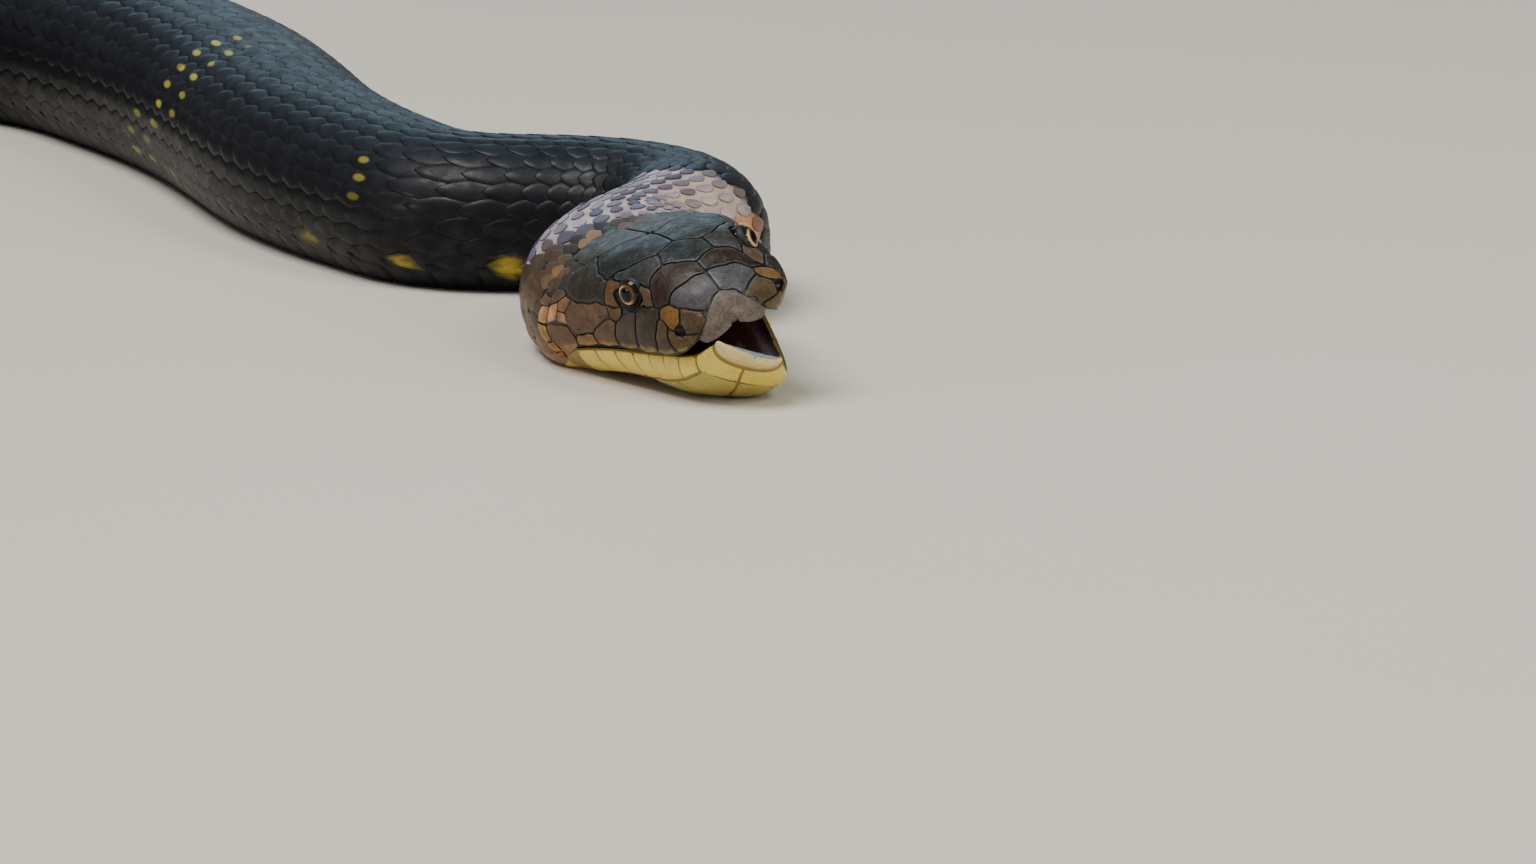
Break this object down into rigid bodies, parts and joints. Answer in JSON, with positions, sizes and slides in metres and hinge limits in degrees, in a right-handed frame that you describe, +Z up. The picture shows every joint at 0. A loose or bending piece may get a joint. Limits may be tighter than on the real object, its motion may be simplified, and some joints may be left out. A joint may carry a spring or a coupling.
{
  "type": "king cobra",
  "caption": "Life-size king cobra lying in loose curves on its belly, head turned to the front right with the mouth ajar.",
  "frame": {"origin": "centre of the bounding box at the level of the floor", "axes": "+X towards the head's end of the layout, +Y away from the picture's camera, +Z up"},
  "size_m": [1.3052, 0.6764, 0.0506],
  "materials": {
    "head_skin": "smooth scaled skin, dark olive brown shields with black seams",
    "jaw_skin": "smooth scaled skin, cream yellow",
    "eye_glass": "wet and glossy, round black pupil in a bronze iris",
    "body_skin": "smooth scaled skin, blue black with narrow rows of yellow spots"
  },
  "bodies": {
    "root": {"head": "head_skin", "lower_jaw": "jaw_skin", "eye_right": "eye_glass", "eye_left": "eye_glass", "neck": "body_skin", "body_1": "body_skin", "body_2": "body_skin", "body_3": "body_skin", "body_4": "body_skin", "body_5": "body_skin", "body_6": "body_skin", "body_7": "body_skin", "tail_1": "body_skin", "tail_2": "body_skin"}
  },
  "joints": []
}
